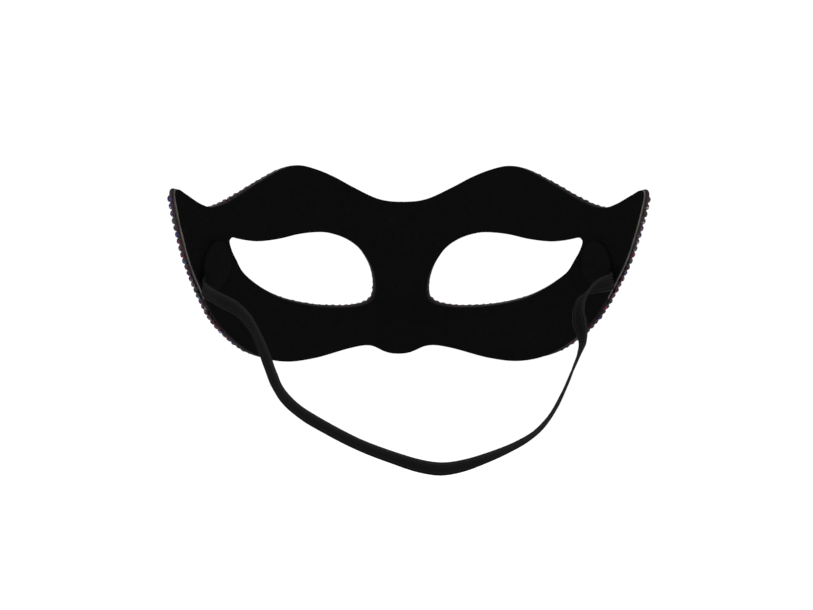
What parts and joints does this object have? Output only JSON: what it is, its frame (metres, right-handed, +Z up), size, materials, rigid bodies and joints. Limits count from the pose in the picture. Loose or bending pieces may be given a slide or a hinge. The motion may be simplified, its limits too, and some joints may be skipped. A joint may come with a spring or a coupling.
{
  "type": "half mask",
  "caption": "Half mask with waved brow, almond eye holes, felt lining, a front covered in dark cut stones and a flat elastic strap in a hanging loop.",
  "frame": {"origin": "on the felt lining where the mask sits on the bridge of the nose", "axes": "+Z up, -Y out of the front of the mask, +Y towards the wearer, +X towards the wearer's left temple"},
  "size_m": [0.1756, 0.1228, 0.1103],
  "materials": {
    "black_felt": "matt pressed felt with short loose fibres",
    "grey_plastic": "smooth dark grey moulded plastic",
    "dark_stone": "faceted dark stones with a many-coloured sheen",
    "pad_felt": "matt felt, slightly lighter than the lining",
    "black_elastic": "ribbed woven elastic with brighter selvedges"
  },
  "bodies": {
    "root": {"lining": "black_felt", "shell": "grey_plastic", "stone_field": "dark_stone", "strap_pad_left": "pad_felt", "strap_pad_right": "pad_felt", "elastic_strap": "black_elastic"}
  },
  "joints": []
}
